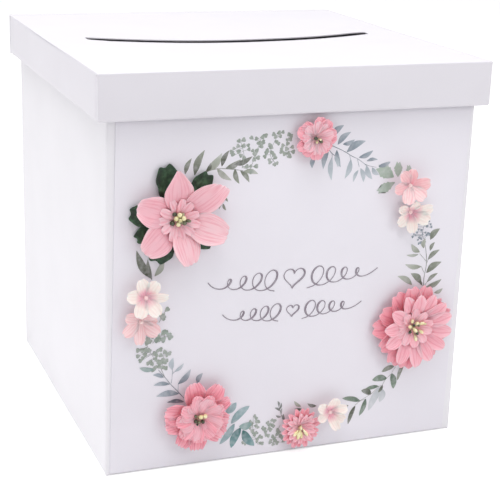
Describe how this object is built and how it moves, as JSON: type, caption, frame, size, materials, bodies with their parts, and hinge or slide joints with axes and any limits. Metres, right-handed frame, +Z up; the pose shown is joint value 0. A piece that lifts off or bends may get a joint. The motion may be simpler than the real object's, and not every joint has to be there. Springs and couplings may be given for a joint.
{
  "type": "wedding card box",
  "caption": "Square folded board box with a lift-off slotted lid, for collecting wedding cards, and a front panel dressed with layered paper flowers.",
  "frame": {"origin": "middle of the base, on the surface that the box stands on", "axes": "+Z up towards the lid, -Y out of the front panel that carries the flowers, +X to the right as seen from the front"},
  "size_m": [0.255, 0.2606, 0.253],
  "materials": {
    "board": "white coated folding board, matt",
    "lid_card": "white coated folding board, matt",
    "panel_card": "printed white card, matt",
    "foam": "white adhesive foam",
    "pale_rose_paper": "embossed mulberry paper, matt",
    "rose_paper": "embossed mulberry paper, matt",
    "deep_rose_paper": "embossed mulberry paper, matt",
    "salmon_paper": "embossed mulberry paper, matt",
    "cream_paper": "embossed mulberry paper, matt",
    "leaf_paper": "embossed mulberry paper, matt",
    "stamen_bead": "glossy dipped stamen heads on wires"
  },
  "bodies": {
    "box": {"wall_sleeve": "board", "base_outer_flap": "board", "left_dust_flap": "board", "right_dust_flap": "board", "base_inner_flap": "board", "front_panel": "panel_card", "foam_pads": "foam", "lily_leaves": "leaf_paper", "lily_petals": "pale_rose_paper", "lily_inner_petals": "rose_paper", "lily_stamens": "stamen_bead", "gerbera_rear_petals": "deep_rose_paper", "gerbera_middle_petals": "rose_paper", "gerbera_front_petals": "rose_paper", "gerbera_stamens": "stamen_bead", "peony_rear_petals": "deep_rose_paper", "peony_middle_petals": "deep_rose_paper", "peony_front_petals": "rose_paper", "peony_stamens": "stamen_bead", "primrose_rear_petals": "deep_rose_paper", "primrose_front_petals": "rose_paper", "primrose_stamens": "stamen_bead", "aster_rear_petals": "deep_rose_paper", "aster_front_petals": "rose_paper", "aster_stamens": "stamen_bead", "pink_blossom_right": "salmon_paper", "cream_blossom_right": "cream_paper", "cream_blossom_left": "cream_paper", "pink_blossom_left": "salmon_paper", "cream_blossom_base": "cream_paper", "blossom_pearls": "cream_paper"},
    "lid": {"lid_top": "lid_card", "lid_front_skirt": "lid_card", "lid_back_skirt": "lid_card", "lid_left_skirt": "lid_card", "lid_right_skirt": "lid_card", "front_left_tab": "lid_card", "front_right_tab": "lid_card", "back_left_tab": "lid_card", "back_right_tab": "lid_card"}
  },
  "joints": [
    {"name": "lid_lift", "type": "slide", "parent": "box", "child": "lid", "axis": [0, 0, 1], "range_m": [0, 0.08]}
  ]
}
